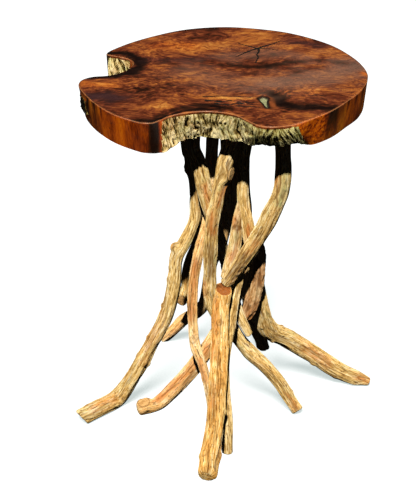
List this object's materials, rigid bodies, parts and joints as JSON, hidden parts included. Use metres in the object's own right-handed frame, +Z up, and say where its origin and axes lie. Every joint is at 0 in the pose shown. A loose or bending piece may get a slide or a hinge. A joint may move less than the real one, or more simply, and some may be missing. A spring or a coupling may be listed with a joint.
{
  "type": "driftwood accent table",
  "caption": "Mushroom-shaped accent table: a thick polished live-edge wood round on a bundle of crossing driftwood branches.",
  "frame": {"origin": "on the floor, under the middle of the whole table", "axes": "+Z up, the front with the bark bay towards -Y, +X to the viewer's right"},
  "size_m": [0.5582, 0.5998, 0.64],
  "materials": {
    "polished_burl": "oiled and polished to a soft gloss, rough bark left at the notch and the bay",
    "driftwood": "bare, sun-bleached and water-worn, matt",
    "bark_driftwood": "bare and matt, with rough bark"
  },
  "bodies": {
    "root": {"tabletop_slab": "polished_burl", "leg_left": "driftwood", "leg_front": "driftwood", "leg_prop": "driftwood", "leg_front_left": "driftwood", "leg_front_right": "driftwood", "leg_right": "driftwood", "leg_back_left": "driftwood", "leg_back_right": "driftwood", "post_crossing": "driftwood", "post_front": "driftwood", "post_thin": "driftwood", "brace_right": "driftwood", "post_middle": "driftwood", "brace_crook": "driftwood", "brace_bark": "bark_driftwood", "stub_left": "driftwood"}
  },
  "joints": []
}
